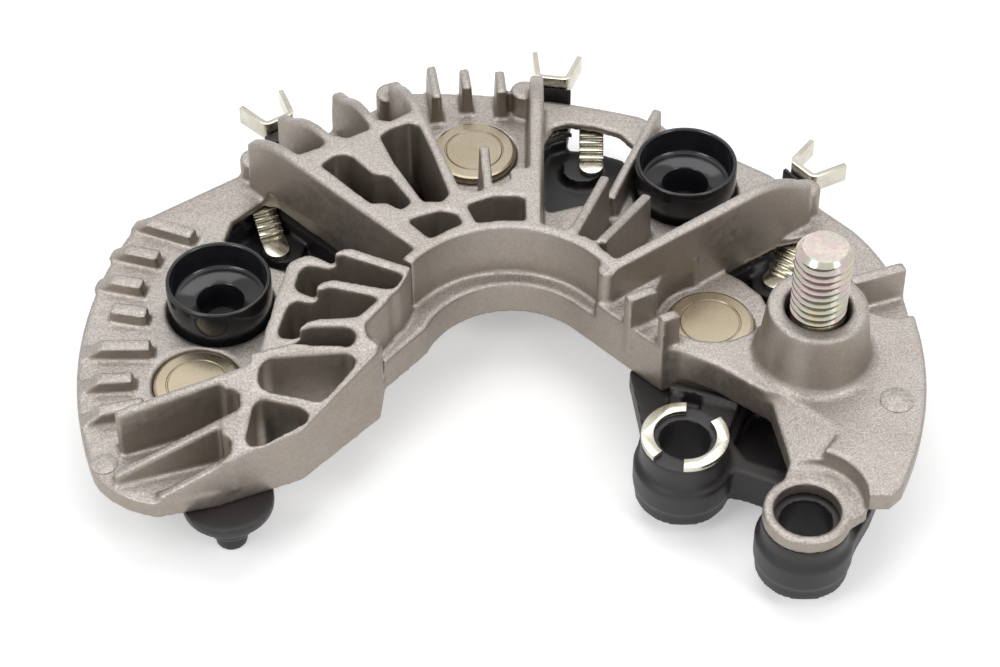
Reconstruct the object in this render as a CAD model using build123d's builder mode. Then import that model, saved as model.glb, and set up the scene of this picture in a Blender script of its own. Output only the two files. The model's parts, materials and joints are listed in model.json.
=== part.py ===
from build123d import *
import os
from math import atan2, cos, degrees, radians, sin, tan

# Rectifier of a vehicle alternator: a horseshoe of die-cast aluminium that cools three press-fit
# diodes, with an insulating terminal carrier underneath and the output stud on its right arm.
# The vehicle's mounting face is the underside of the two front bosses and of the two bushes.
# Plan positions are measured from the middle of the horseshoe, heights from the plate's top face.

os.makedirs("parts", exist_ok=True)

# Heights above the plate's top face
plate_thickness = 3.0
wall_height = 12.0
ledge_height = 2.9
platform_height = 5.7
platform_thickness = 3.1
platform_skirt = 0.1
seat_depth = 6.0
mounting_depth = 9.7
peg_depth = 12.5

# Castings and walls
crest_width = 1.5
wall_draft = 2.0
wall_width = 1.8
fit_gap = 0.2
corner_radius = 1.2

# Outline of the plate
rim_left = 61.0
rim_right = 60.2
hook_back = 58.8
lug_front = 42.1
hub = (-0.4, -8.0)

# Inner opening
opening_centre = (1.5, -5.8)
opening_radius = 13.0
ledge_depth = 2.2

# Crown of the fins, a rounded shoulder about the hub
crown_flat_radius = 45.5
crown_radius = 14.3
fin_end_radius = 55.0
crown_reach = 70.0

# Press-fit diodes
diode_radius = 6.5
diode_knurl_radius = 6.6
diode_length = 7.0
diode_base = 2.2
diode_wall = 0.9
diode_ring_radius = 4.5
diode_collar = 9.0
die_size = 4.2
die_thickness = 0.4
lead_radius = 0.7
lead_head_radius = 1.7
lead_head_height = 0.8
lead_length = 2.0
diodes = {"left": ((-43.4, -9.5), -0.3), "rear": ((-4.0, 38.2), 1.0), "right": ((30.6, 1.4), 1.0)}
right_diode_clearance = 8.2

# Output stud, M8
stud_place = (44.4, -9.3)
stud_radius = 4.0
stud_shank_radius = 3.6
thread_start = 15.5
stud_top = 27.0
stud_chamfer = 0.9
stud_spline_radius = 4.6
stud_spline_top = 3.0
stud_head_radius = 6.5
stud_head_height = 2.5
boss_top = 15.4
boss_top_radius = 7.1
boss_foot_radius = 8.1
boss_bore_radius = 4.7

# Insulating bushes
bushes = {"left": (-41.0, 5.4), "rear": (28.3, 30.4)}
cup_radius = 7.7
cup_wall = 0.7
cup_top = 6.0
cup_floor = 1.4
cup_seat = 1.2
bush_neck_radius = 5.6
bush_bore_radius = 3.4

# Lug and contact bosses at the front right
lug_place = (42.0, -35.1)
lug_radius = 6.15
lug_top = 2.2
lug_thickness = 2.3
lug_bore_radius = 4.6
screw_pocket_radius = 8.0
boss_radius = 6.8
boss_bore = 3.6
contact_place = (25.9, -21.6)
contact_radius = 6.2
contact_bore = 4.4
contact_top = 2.2
contact_thickness = 0.9
contact_gap_width = 3.6

# Terminal carrier
carrier_top = -3.0
carrier_thickness = 3.6
carrier_inner = 36.0
carrier_outer = 54.0
carrier_start = -18.0
carrier_end = 197.0
peg_place = (-38.0, -28.4)
peg_shoulder_radius = 6.5
peg_shoulder_depth = 4.4
peg_neck_radius = 3.6
peg_neck_depth = 9.7
peg_tip_radius = 2.3

# Phase terminals
hook_angles = {"left": 123.7, "rear": 81.8, "right": 40.3}
strap_angles = {"left": 136.5, "rear": 75.0, "right": 31.0}
hook_radius = 61.2
hook_reach = 5.6
hook_base = 4.6
hook_mouth = 7.2
hook_height = 3.0
hook_top = 3.4
strip_thickness = 0.8
strap_width = 4.4
strap_inner = 46.0
strap_level = -3.9

shift_x = (rim_left - rim_right) / 2
shift_y = (lug_front - hook_back) / 2


def level(height):
    """Return the horizontal plane at a height above the plate's top face."""
    return Plane((shift_x, shift_y, peg_depth + height))


def upright(start, end):
    """Return the upright plane that runs from one plan point to another, its y axis up."""
    origin = (start[0] + shift_x, start[1] + shift_y, peg_depth)
    along = Vector(end[0] - start[0], end[1] - start[1], 0).normalized()
    return Plane(origin, x_dir=along, z_dir=(along.Y, -along.X, 0))


def from_hub(radius, angle):
    """Return the plan point at a radius and an angle about the hub."""
    return (hub[0] + radius * cos(radians(angle)), hub[1] + radius * sin(radians(angle)))


def strap_route(name):
    """Return the plan points of a phase terminal's strap, from its hook to its window."""
    hook, strap = hook_angles[name], strap_angles[name]
    points = [from_hub(hook_radius + strip_thickness, hook), from_hub(carrier_outer + 2, hook)]
    return points + [from_hub(carrier_outer - 2, strap), from_hub(strap_inner, strap)]


def rib(start, end, heights, width=crest_width, foot=0.0):
    """Return an upright rib with drafted sides, its crest running between two heights."""
    length = Vector(end[0] - start[0], end[1] - start[1]).length
    across = upright(start, end)
    sections = []
    for distance, height in ((0, heights[0]), (length, heights[1])):
        half_crest = width / 2
        half_foot = half_crest + (height - foot) * tan(radians(wall_draft))
        origin = across.origin + across.x_dir * distance
        end_plane = Plane(origin, x_dir=across.z_dir, z_dir=-across.x_dir)
        with BuildSketch(end_plane, mode=Mode.PRIVATE) as section:
            corners = [(-half_foot, foot), (half_foot, foot), (half_crest, height), (-half_crest, height)]
            Polygon(*corners, align=None)
        sections.append(section.sketch)
    return loft(sections, ruled=True, mode=Mode.PRIVATE)


# Walls that run the full height: start, end, width
full_walls = [
    ((-37.6, 31.6), (-10.8, 5.4), wall_width),
    ((5.7, 48.0), (5.0, 10.4), wall_width),
    ((24.4, 39.5), (12.6, 7.6), crest_width),
    ((46.2, 24.0), (15.5, 1.6), wall_width),
    ((21.5, 17.0), (13.4, 6.0), crest_width),
    ((15.3, 21.3), (10.1, 8.6), crest_width),
    ((-2.4, 27.5), (-1.6, 16.5), crest_width),
    ((-33.6, 39.4), (-25.0, 28.2), crest_width),
    ((-25.4, 45.2), (-18.4, 31.0), crest_width),
    ((-16.6, 47.0), (-6.4, 17.4), crest_width),
]
rim_fins = [((-10.9, 52.9), (-9.8, 45.4)), ((-5.7, 52.3), (-5.1, 47.6)), ((-0.1, 51.8), (0.3, 46.6))]
rim_fin_height = 5.5

lattice_walls = [
    ((-33.3, -14.6), (-29.9, 2.4), 2.0),
    ((-30.1, 1.6), (-28.2, 4.0), 2.0),
    ((-28.7, 3.9), (-23.4, 3.0), 2.0),
    ((-23.2, 5.6), (-23.7, 2.4), 1.2),
    ((-23.2, 5.3), (-13.9, 1.4), 1.4),
    ((-25.8, -1.6), (-23.6, -0.5), 1.4),
    ((-23.9, -0.5), (-15.8, -3.2), 1.4),
    ((-30.8, -3.4), (-26.8, -4.5), 1.4),
    ((-29.2, -13.4), (-27.6, -9.6), 1.4),
    ((-27.9, -9.8), (-25.8, -8.5), 1.4),
    ((-26.2, -8.5), (-19.0, -7.9), 1.4),
    ((-19.8, -7.6), (-19.0, -14.0), 1.4),
    ((-32.2, -13.4), (-29.0, -13.1), 1.4),
    ((-34.4, -14.5), (-18.4, -13.9), 1.4),
    ((-35.0, -14.6), (-36.4, -28.9), 2.2),
    ((-35.5, -19.2), (-26.2, -22.8), 1.6),
]
sloping_ribs = [
    ((-34.6, -15.6), (-53.2, -22.7), (9.8, 7.8)),
    ((-35.6, -22.4), (-53.4, -28.5), (8.2, 1.6)),
    ((-36.4, -28.7), (-47.2, -31.5), (6.0, 0.6)),
]
lattice_pockets = [
    [(-33.0, -16.2), (-20.8, -15.9), (-25.8, -21.6), (-33.3, -18.7)],
    [(-33.8, -21.4), (-28.2, -23.8), (-34.6, -27.0)],
]
windows = [
    [(-41.4, 19.4), (-40.4, 23.6), (-36.2, 28.0), (-33.8, 27.4), (-18.6, 12.6), (-21.0, 8.8),
     (-28.0, 8.6), (-31.0, 12.6), (-36.0, 14.6)],
    [(6.6, 26.8), (6.6, 41.0), (10.4, 46.4), (18.0, 45.6), (21.8, 38.6), (18.4, 28.8), (12.5, 27.4)],
    [(33.4, 13.0), (41.8, 19.0), (45.8, 20.2), (47.4, 17.0), (46.8, 6.0), (40.0, 3.8), (38.6, 8.0),
     (36.0, 11.0)],
]
window_radius = 0.8
rim_ribs = [
    ((-45.6, 18.6), (-55.6, 22.6)), ((-50.4, 14.0), (-58.4, 16.4)), ((-52.2, 8.1), (-60.0, 10.0)),
    ((-51.4, 2.4), (-56.9, 3.7)), ((-50.0, -4.2), (-60.6, -4.2)), ((-52.0, -10.4), (-60.3, -11.0)),
    ((-50.0, -15.2), (-59.4, -17.6)),
]
rim_rib_height = 2.2
rim_rib_width = 2.2
rim_rib_slope = 3.0
bosses = [
    ((15.5, 2.0), 1.5, 11.5), ((-18.0, -11.9), 1.5, 10.5), ((-37.7, 34.0), 2.2, 3.4),
    ((-17.1, 47.4), 2.3, 4.8), ((3.9, 48.4), 2.2, 4.5), ((46.4, 25.8), 2.0, 5.0), ((3.0, 21.4), 1.6, 12.0),
]
corner_ribs = [
    ((18.0, -3.9), (22.2, -1.6), (11.5, 11.2), 1.6, 0.0),
    ((22.6, -7.8), (25.2, -6.4), (11.5, 11.2), 1.6, -3.0),
    ((51.0, 5.6), (59.3, 8.6), (5.5, 5.5), 1.8, 0.0),
]
slope_place = (-17.0, -14.0, 11.0)
slope_left = 0.034
slope_front = 0.293
slope_reach = 110.0
crown_sweep = 42.0
crown_low = 2.0
apron_slope = 0.5

pockets = [
    [(-26.6, 23.2), (-24.6, 25.4), (-22.3, 25.4), (-19.0, 21.4), (-16.4, 20.9), (-13.0, 15.3),
     (-14.4, 13.7), (-16.6, 15.2), (-18.8, 15.0)],
    [(-18.0, 29.6), (-16.2, 31.4), (-13.6, 32.6), (-11.9, 31.8), (-7.5, 17.0), (-8.6, 15.4),
     (-11.3, 15.5), (-15.6, 23.6)],
    [(-4.9, 14.8), (-1.2, 16.5), (3.6, 16.5), (3.7, 11.2), (-3.4, 11.0)],
    [(-13.6, 11.6), (-8.8, 13.5), (-6.4, 12.9), (-5.4, 10.9), (-7.8, 9.4), (-10.0, 7.6)],
]

with BuildPart() as heat_sink:
    # Plate
    with BuildSketch(level(-plate_thickness)):
        with BuildLine():
            lobe_corner = ThreePointArc((-47.3, -32.5), (-52.9, -30.4), (-56.7, -26.6))
            left_rim = ThreePointArc(lobe_corner @ 1, (-rim_left, -3.3), (-54.6, 23.6))
            left_chord = Polyline(left_rim @ 1, (-39.5, 34.2), (-14.6, 52.7))
            back_rim = ThreePointArc(left_chord @ 1, (4.0, 51.5), (22.0, 47.2))
            right_chord = Polyline(back_rim @ 1, (41.5, 34.0), (53.4, 21.6))
            right_rim = ThreePointArc(right_chord @ 1, (58.4, 12.0), (59.9, -1.5))
            right_end = Polyline(right_rim @ 1, (60.1, -5.0), (36.0, -12.0), (25.0, -8.6), (22.6, -8.2))
            right_flank = Line(right_end @ 1, (11.2, 3.2))
            opening = ThreePointArc(right_flank @ 1, (1.5, 7.2), (-10.6, -1.4))
            Polyline(opening @ 1, (-16.5, -8.4), (-17.0, -13.9), (-27.6, -25.6), (-39.4, -30.6),
                     lobe_corner @ 0)
        make_face()
    extrude(amount=plate_thickness)
    # Ledge round the opening
    with BuildSketch(level(0)):
        with BuildLine():
            flank = Line((-19.5, -7.0), (-16.4, -8.3))
            inner = Line(flank @ 1, (-10.6, -1.4))
            arc = ThreePointArc(inner @ 1, (1.5, 7.2), (11.2, 3.2))
            right = Polyline(arc @ 1, (13.6, 0.9), (16.0, 3.6))
            ThreePointArc(right @ 1, (1.5, 12.0), (-14.5, 1.0))
            Line((-14.5, 1.0), flank @ 0)
        make_face()
    extrude(amount=ledge_height)
    # Wall round the opening
    with BuildSketch(level(0)):
        with BuildLine():
            face = ThreePointArc((15.2, 2.0), (1.5, 9.7), (-13.8, 0.6))
            side = Polyline(face @ 1, (-15.8, -4.8), (-19.2, -9.8), (-20.6, -9.0), (-17.6, -4.4),
                            (-15.6, 1.0))
            ThreePointArc(side @ 1, (1.5, 11.5), (16.6, 3.4))
            Line((16.6, 3.4), face @ 0)
        make_face()
    extrude(amount=wall_height)
    # Web between the inner wall and the fins, with its core pockets
    with BuildSketch(level(0)):
        with BuildLine():
            Polyline((-30.2, 25.4), (-26.8, 27.2), (-25.0, 29.8), (-22.8, 29.2), (-19.6, 31.2),
                     (-18.6, 33.2), (-16.4, 33.0), (-13.2, 35.4), (-11.4, 34.4), (-6.2, 18.4),
                     (-3.2, 17.6), (0.2, 19.3), (5.0, 22.4), (5.0, 10.6), (-6.0, 9.0), (-10.5, 5.6),
                     (-31.0, 24.6), close=True)
        make_face()
        for corners in pockets:
            with BuildSketch(level(0), mode=Mode.SUBTRACT):
                with BuildLine():
                    FilletPolyline(*corners, radius=0.7, close=True)
                make_face()
    extrude(amount=wall_height)
    with BuildSketch(level(-plate_thickness)):
        for corners in pockets:
            with BuildLine():
                FilletPolyline(*corners, radius=0.7, close=True)
            make_face()
    extrude(amount=plate_thickness, mode=Mode.SUBTRACT)

    # Windows and lattice pockets through the plate
    with BuildSketch(level(-plate_thickness)):
        for corners in windows + lattice_pockets:
            with BuildLine():
                FilletPolyline(*corners, radius=window_radius, close=True)
            make_face()
    extrude(amount=plate_thickness, mode=Mode.SUBTRACT)
    # Walls and fins, rounded off at the crown
    add([rib(start, end, (wall_height, wall_height), width) for start, end, width in full_walls])
    with BuildSketch(Plane((shift_x + hub[0], shift_y + hub[1], peg_depth), x_dir=(1, 0, 0), z_dir=(0, -1, 0))):
        with BuildLine():
            crown = RadiusArc((crown_flat_radius, wall_height),
                              (crown_flat_radius + crown_radius * sin(radians(crown_sweep)),
                               wall_height - crown_radius * (1 - cos(radians(crown_sweep)))), crown_radius)
            Polyline(crown @ 1, (crown_reach, crown_low), (crown_reach, 2 * wall_height),
                     (crown_flat_radius, 2 * wall_height), crown @ 0)
        make_face()
    revolve(axis=Axis((shift_x + hub[0], shift_y + hub[1], 0), (0, 0, 1)), mode=Mode.SUBTRACT)
    # Lattice on the left arm, its top falling away to the front
    add([rib(start, end, (wall_height, wall_height), width) for start, end, width in lattice_walls])
    with BuildSketch(level(0)):
        Polygon((-17.0, -13.9), (-27.6, -25.6), (-38.0, -30.0), (-37.2, -28.2), (-26.9, -23.9),
                (-19.4, -15.6), (-19.4, -12.6), (-17.6, -12.6), align=None)
    extrude(amount=wall_height)
    slope = Plane(level(0).origin + Vector(*slope_place), x_dir=(1, 0, slope_left), z_dir=(-slope_left, -slope_front, 1))
    with BuildSketch(slope):
        Rectangle(slope_reach, slope_reach)
    extrude(amount=wall_height, mode=Mode.SUBTRACT)
    add([rib(start, end, heights) for start, end, heights in sloping_ribs])
    # Low ribs along the left rim
    for inner, outer in rim_ribs:
        length = Vector(outer[0] - inner[0], outer[1] - inner[1]).length
        with BuildSketch(upright(inner, outer)):
            Polygon((0, -0.5), (length, -0.5), (length - 0.2, 0.2), (length - rim_rib_slope, rim_rib_height),
                    (0.4, rim_rib_height), align=None)
        extrude(amount=rim_rib_width / 2, both=True)
    add([rib(outer, inner, (rim_fin_height, rim_fin_height)) for outer, inner in rim_fins])
    # Ejector bosses
    for place, radius, height in bosses:
        with BuildSketch(level(-0.5)):
            with Locations(place):
                Circle(radius)
        extrude(amount=height + 0.5)
    # Raised platform of the right arm
    with BuildSketch(level(-platform_skirt)):
        with BuildLine():
            back = Polyline((22.6, -8.3), (22.0, -3.0), (36.0, -4.0), (50.4, -1.2), (53.3, -0.9), (55.4, -1.9),
                            (57.4, -2.1), (59.6, -1.4))
            rim = ThreePointArc(back @ 1, (rim_right, -7.3), (56.2, -30.7))
            low = Polyline(rim @ 1, (54.9, -33.8), (53.0, -35.7), (49.7, -35.7), (46.0, -33.0), (42.0, -31.0),
                           (40.4, -28.4), (39.3, -23.0), (38.2, -17.2), (34.8, -14.7), (30.8, -11.5),
                           (25.6, -8.7), back @ 0)
        make_face()
    extrude(amount=platform_skirt + platform_height)
    # Floors between the short ribs at the inner corner
    with BuildSketch(level(-0.5)):
        Polygon((13.6, 0.8), (22.6, -8.2), (24.0, -6.0), (29.6, 8.2), (28.8, 10.0), (17.0, 2.4), align=None)
    extrude(amount=platform_height + 0.5)
    # Hollow under the platform
    with BuildSketch(level(-platform_skirt)):
        Polygon((49.2, -40.0), (48.6, -28.0), (52.6, -18.0), (52.8, -5.2), (70.0, -5.2), (70.0, -40.0), align=None)
    extrude(amount=platform_skirt + platform_height - platform_thickness, mode=Mode.SUBTRACT)
    # Sloping apron beside the lug
    with BuildSketch(upright((36.0, -15.5), (31.4, -21.5))):
        Polygon((0, platform_height), (12, platform_height - 12 * apron_slope), (12, 9), (0, 9), align=None)
    extrude(amount=14, dir=Vector(0.79, -0.61, 0), mode=Mode.SUBTRACT)
    # Short ribs at the inner corner and the rib on the right rim
    add([rib(start, end, heights, width, foot) for start, end, heights, width, foot in corner_ribs])
    # Lug with the pocket for its screw head
    with BuildSketch(level(lug_top)):
        with Locations(lug_place):
            Circle(screw_pocket_radius)
    extrude(amount=platform_height, mode=Mode.SUBTRACT)
    with BuildSketch(level(lug_top - lug_thickness)):
        with Locations(lug_place):
            Circle(lug_radius)
        Polygon((39.0, -30.0), (40.2, -26.4), (49.4, -28.0), (50.2, -35.4), (47.6, -37.2), align=None)
    extrude(amount=lug_thickness)
    # Boss of the output stud
    stud_base = Plane((shift_x + stud_place[0], shift_y + stud_place[1], peg_depth), x_dir=(1, 0, 0), z_dir=(0, -1, 0))
    with BuildSketch(stud_base):
        with BuildLine():
            Polyline((0, -plate_thickness), (boss_foot_radius, -plate_thickness), (boss_foot_radius, platform_height - 1),
                     (boss_foot_radius + 0.8, platform_height), (boss_foot_radius, platform_height + 1.0),
                     (boss_top_radius, boss_top), (0, boss_top), close=True)
        make_face()
    revolve(axis=Axis(level(0).origin + Vector(*stud_place, 0), (0, 0, 1)))
    with BuildSketch(level(-plate_thickness)):
        with Locations(stud_place):
            Circle(stud_spline_radius)
    extrude(amount=boss_top + plate_thickness, mode=Mode.SUBTRACT)
    with BuildSketch(level(stud_spline_top)):
        with Locations(stud_place):
            Circle(boss_bore_radius)
    extrude(amount=boss_top, mode=Mode.SUBTRACT)
    # Diode seats under the plate, and the clearance over the right diode
    with BuildSketch(level(-seat_depth)):
        with Locations(*[place for place, height in diodes.values()]):
            Circle(diode_collar)
    extrude(amount=seat_depth)
    with BuildSketch(level(0)):
        with Locations(diodes["right"][0]):
            Circle(right_diode_clearance)
    extrude(amount=2 * wall_height, mode=Mode.SUBTRACT)
    for start, end, heights, width, foot in corner_ribs[:2]:
        add(rib(start, end, heights, width, foot))
    with BuildSketch(level(-seat_depth)):
        with Locations(*[place for place, height in diodes.values()]):
            Circle(diode_radius)
    extrude(amount=seat_depth + 4, mode=Mode.SUBTRACT)
    # Seats of the insulating bushes and the bore of the lug
    with BuildSketch(level(-plate_thickness)):
        with Locations(*bushes.values()):
            Circle(bush_neck_radius)
        with Locations(lug_place):
            Circle(lug_bore_radius)
    extrude(amount=platform_height + plate_thickness, mode=Mode.SUBTRACT)
    with BuildSketch(level(-cup_seat)):
        with Locations(*bushes.values()):
            Circle(cup_radius + fit_gap)
    extrude(amount=2 * wall_height, mode=Mode.SUBTRACT)
heat_sink.part.label = "heat_sink"
export_step(heat_sink.part, "parts/heat_sink.step")

# Press-fit diodes: cup with its base upwards, silicon die, head lead and potting
for name, (place, top) in diodes.items():
    axis = Axis(level(0).origin + Vector(*place, 0), (0, 0, 1))
    section = Plane(level(0).origin + Vector(*place, 0), x_dir=(1, 0, 0), z_dir=(0, -1, 0))
    die_top = top - diode_base
    rim_low = top - diode_length
    with BuildPart() as cup:
        with BuildSketch(section):
            with BuildLine():
                Polyline((0, top), (diode_ring_radius - 0.25, top), (diode_ring_radius, top - 0.2),
                         (diode_ring_radius + 0.25, top), (diode_radius - 0.4, top), (diode_radius, top - 0.4),
                         (diode_radius, rim_low), (diode_radius - diode_wall, rim_low),
                         (diode_radius - diode_wall, die_top), (0, die_top), close=True)
            make_face()
        revolve(axis=axis)
    cup.part.label = "diode_cup_" + name
    export_step(cup.part, "parts/diode_cup_" + name + ".step")
    with BuildPart() as die:
        with BuildSketch(level(die_top - die_thickness)):
            with Locations(place):
                Rectangle(die_size, die_size)
        extrude(amount=die_thickness)
    die.part.label = "diode_die_" + name
    export_step(die.part, "parts/diode_die_" + name + ".step")
    head_top = die_top - die_thickness
    with BuildPart() as lead:
        with BuildSketch(section):
            Polygon((0, head_top), (lead_head_radius, head_top), (lead_head_radius, head_top - lead_head_height),
                    (lead_radius, head_top - lead_head_height), (lead_radius, rim_low - lead_length),
                    (0, rim_low - lead_length), align=None)
        revolve(axis=axis)
    lead.part.label = "diode_lead_" + name
    export_step(lead.part, "parts/diode_lead_" + name + ".step")
    with BuildPart() as potting:
        with BuildSketch(level(rim_low + 0.5)):
            with Locations(place):
                Circle(diode_radius - diode_wall)
        extrude(amount=die_top - rim_low - 0.5)
        add(die.part, mode=Mode.SUBTRACT)
        add(lead.part, mode=Mode.SUBTRACT)
    potting.part.label = "diode_potting_" + name
    export_step(potting.part, "parts/diode_potting_" + name + ".step")

# Output stud, pressed in from below
with BuildPart() as b_plus_stud:
    with BuildSketch(stud_base):
        Polygon((0, -plate_thickness - stud_head_height), (stud_head_radius, -plate_thickness - stud_head_height),
                (stud_head_radius, -plate_thickness), (stud_spline_radius, -plate_thickness),
                (stud_spline_radius, stud_spline_top), (stud_shank_radius, stud_spline_top),
                (stud_shank_radius, thread_start), (stud_radius, thread_start),
                (stud_radius, stud_top - stud_chamfer), (stud_radius - stud_chamfer, stud_top), (0, stud_top),
                align=None)
    revolve(axis=Axis(level(0).origin + Vector(*stud_place, 0), (0, 0, 1)))
b_plus_stud.part.label = "b_plus_stud"
export_step(b_plus_stud.part, "parts/b_plus_stud.step")

# Insulating bushes, a cup for the screw head over a neck that reaches the mounting face
for name, place in bushes.items():
    section = Plane(level(0).origin + Vector(*place, 0), x_dir=(1, 0, 0), z_dir=(0, -1, 0))
    with BuildPart() as bush:
        with BuildSketch(section):
            Polygon((bush_bore_radius, -mounting_depth), (bush_neck_radius, -mounting_depth),
                    (bush_neck_radius, -cup_seat), (cup_radius, -cup_seat), (cup_radius, cup_top),
                    (cup_radius - cup_wall, cup_top), (cup_radius - cup_wall, cup_floor),
                    (bush_bore_radius, cup_floor), align=None)
        revolve(axis=Axis(level(0).origin + Vector(*place, 0), (0, 0, 1)))
    bush.part.label = "bush_" + name
    export_step(bush.part, "parts/bush_" + name + ".step")

# Terminal carrier, the black moulding under the heat sink
with BuildPart() as terminal_carrier:
    carrier_low = carrier_top - carrier_thickness
    with BuildSketch(level(carrier_low)):
        with BuildLine():
            outer = CenterArc(hub, carrier_outer, carrier_start, carrier_end - carrier_start)
            inner = CenterArc(hub, carrier_inner, carrier_start, carrier_end - carrier_start)
            Line(outer @ 0, inner @ 0)
            Line(outer @ 1, inner @ 1)
        make_face()
        Polygon((18.6, -4.6), (19.2, -18.0), (21.0, -26.0), (31.0, -27.0), (38.0, -38.0), (49.0, -38.0),
                (54.5, -24.0), (51.0, -8.0), (36.0, -8.0), align=None)
        Polygon((-50.0, -14.0), (-44.6, -28.4), (-31.4, -28.4), (-34.0, -16.0), align=None)
        with Locations(peg_place):
            Circle(peg_shoulder_radius)
        for name, angle in hook_angles.items():
            with BuildLine() as arm:
                Line(from_hub(carrier_outer - 2, angle), from_hub(hook_radius - strip_thickness / 2, angle))
            trace(arm.line, line_width=strap_width + 2)
    extrude(amount=carrier_thickness)
    # Front bosses and the peg
    with BuildSketch(level(-mounting_depth)):
        with Locations(lug_place, contact_place):
            Circle(boss_radius)
    extrude(amount=mounting_depth + lug_top - lug_thickness)
    with BuildSketch(level(lug_top - lug_thickness)):
        with Locations(contact_place):
            Circle(boss_radius)
    extrude(amount=contact_top - contact_thickness - lug_top + lug_thickness)
    with BuildSketch(level(-peg_neck_depth)):
        with Locations(peg_place):
            Circle(peg_neck_radius)
    extrude(amount=peg_neck_depth + carrier_top)
    with BuildSketch(level(-peg_depth)):
        with Locations(peg_place):
            Circle(peg_tip_radius)
    extrude(amount=peg_depth + carrier_top)
    # Room for the diode seats, the bushes, the stud's head and the screws
    with BuildSketch(level(-mounting_depth)):
        with Locations(*[place for place, height in diodes.values()]):
            Circle(diode_collar + fit_gap)
        with Locations(*bushes.values()):
            Circle(bush_neck_radius + fit_gap)
        with Locations(lug_place, contact_place):
            Circle(boss_bore)
        with Locations(stud_place):
            Circle(stud_head_radius + fit_gap)
    extrude(amount=2 * mounting_depth, mode=Mode.SUBTRACT)
    # Channels for the straps
    with BuildSketch(level(strap_level - strip_thickness / 2)):
        for name in hook_angles:
            with BuildLine() as route:
                Polyline(*strap_route(name))
            trace(route.line, line_width=strap_width + 2 * fit_gap)
    extrude(amount=carrier_thickness, mode=Mode.SUBTRACT)
terminal_carrier.part.label = "terminal_carrier"
export_step(terminal_carrier.part, "parts/terminal_carrier.step")

# Phase terminals: a hook outside the rim on a strap that runs in to its window
for name, angle in hook_angles.items():
    base_left = from_hub(hook_radius, angle + degrees(atan2(hook_base / 2, hook_radius)))
    base_right = from_hub(hook_radius, angle - degrees(atan2(hook_base / 2, hook_radius)))
    tip_left = from_hub(hook_radius + hook_reach, angle + degrees(atan2(hook_mouth / 2, hook_radius + hook_reach)))
    tip_right = from_hub(hook_radius + hook_reach, angle - degrees(atan2(hook_mouth / 2, hook_radius + hook_reach)))
    with BuildPart() as phase_terminal:
        with BuildSketch(level(hook_top - hook_height)):
            with BuildLine() as hook_line:
                FilletPolyline(tip_left, base_left, base_right, tip_right, radius=0.9)
            trace(hook_line.line, line_width=strip_thickness)
        extrude(amount=hook_height)
        with BuildSketch(level(strap_level - strip_thickness / 2)):
            with BuildLine() as route:
                Polyline(*strap_route(name))
            trace(route.line, line_width=strap_width)
        extrude(amount=strip_thickness)
        with BuildSketch(upright(from_hub(hook_radius, angle), from_hub(strap_inner, angle))):
            with Locations((0, (hook_top - hook_height + strap_level) / 2)):
                Rectangle(strip_thickness, hook_top - hook_height - strap_level + strip_thickness)
        extrude(amount=strap_width / 2, both=True)
    phase_terminal.part.label = "phase_terminal_" + name
    export_step(phase_terminal.part, "parts/phase_terminal_" + name + ".step")
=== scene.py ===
"""Dressing of a horseshoe bridge rectifier for a vehicle's alternator.

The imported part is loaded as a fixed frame. The die-cast heat sink gets the soft edges and the
grain of a casting, the output stud its thread, the diodes, cups and strips their plating and
gloss. Sizes in the classes are millimetres in the frame of the part: +Z points up out of the
finned face, the horseshoe opens towards -Y, and the tip of the locating peg lies at z = 0.
"""

from __future__ import annotations

import json
import logging
from dataclasses import dataclass, field
from enum import Enum
from math import atan2, cos, degrees, hypot, pi, radians, sin, tan

import bmesh
import bpy
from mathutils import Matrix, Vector

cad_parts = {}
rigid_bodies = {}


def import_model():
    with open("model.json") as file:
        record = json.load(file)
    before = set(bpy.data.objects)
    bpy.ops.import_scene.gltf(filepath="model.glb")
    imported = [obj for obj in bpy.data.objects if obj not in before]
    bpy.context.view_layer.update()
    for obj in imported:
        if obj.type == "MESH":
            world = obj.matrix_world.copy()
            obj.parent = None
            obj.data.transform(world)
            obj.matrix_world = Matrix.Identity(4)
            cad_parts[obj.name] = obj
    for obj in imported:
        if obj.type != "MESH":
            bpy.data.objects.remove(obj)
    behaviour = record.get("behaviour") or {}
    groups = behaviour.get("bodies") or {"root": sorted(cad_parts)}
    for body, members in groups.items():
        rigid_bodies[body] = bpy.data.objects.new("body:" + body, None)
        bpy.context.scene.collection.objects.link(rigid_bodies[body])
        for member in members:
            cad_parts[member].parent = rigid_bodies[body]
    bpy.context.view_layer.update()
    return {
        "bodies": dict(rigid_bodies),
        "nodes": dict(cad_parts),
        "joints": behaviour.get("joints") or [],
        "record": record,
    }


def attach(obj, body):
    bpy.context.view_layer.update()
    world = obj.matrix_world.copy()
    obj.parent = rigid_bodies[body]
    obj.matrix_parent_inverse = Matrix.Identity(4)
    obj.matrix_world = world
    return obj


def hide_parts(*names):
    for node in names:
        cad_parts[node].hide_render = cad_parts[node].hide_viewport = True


log = logging.getLogger("rectifier")

MM = 0.001
MERGED = 0.002 * MM
Colour = tuple[float, float, float]
Point = tuple[float, float, float]
Place = tuple[float, float]
Outline = tuple[Place, ...]
Shape = bmesh.types.BMesh
Mesh = bpy.types.Mesh
Socket = bpy.types.NodeSocket


class Slot(str, Enum):
    """Material slots of the record."""

    CASTING = "cast_aluminium"
    STUD = "zinc_steel"
    BUSH = "bush_plastic"
    CARRIER = "carrier_plastic"
    DIODE_CUP = "nickel_cup"
    DIE = "silicon"
    LEAD = "copper_lead"
    RESIN = "potting_resin"
    STRIP = "tinned_strip"


class Side(str, Enum):
    """The three phases, named by where they stand on the horseshoe."""

    LEFT = "left"
    REAR = "rear"
    RIGHT = "right"


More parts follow.
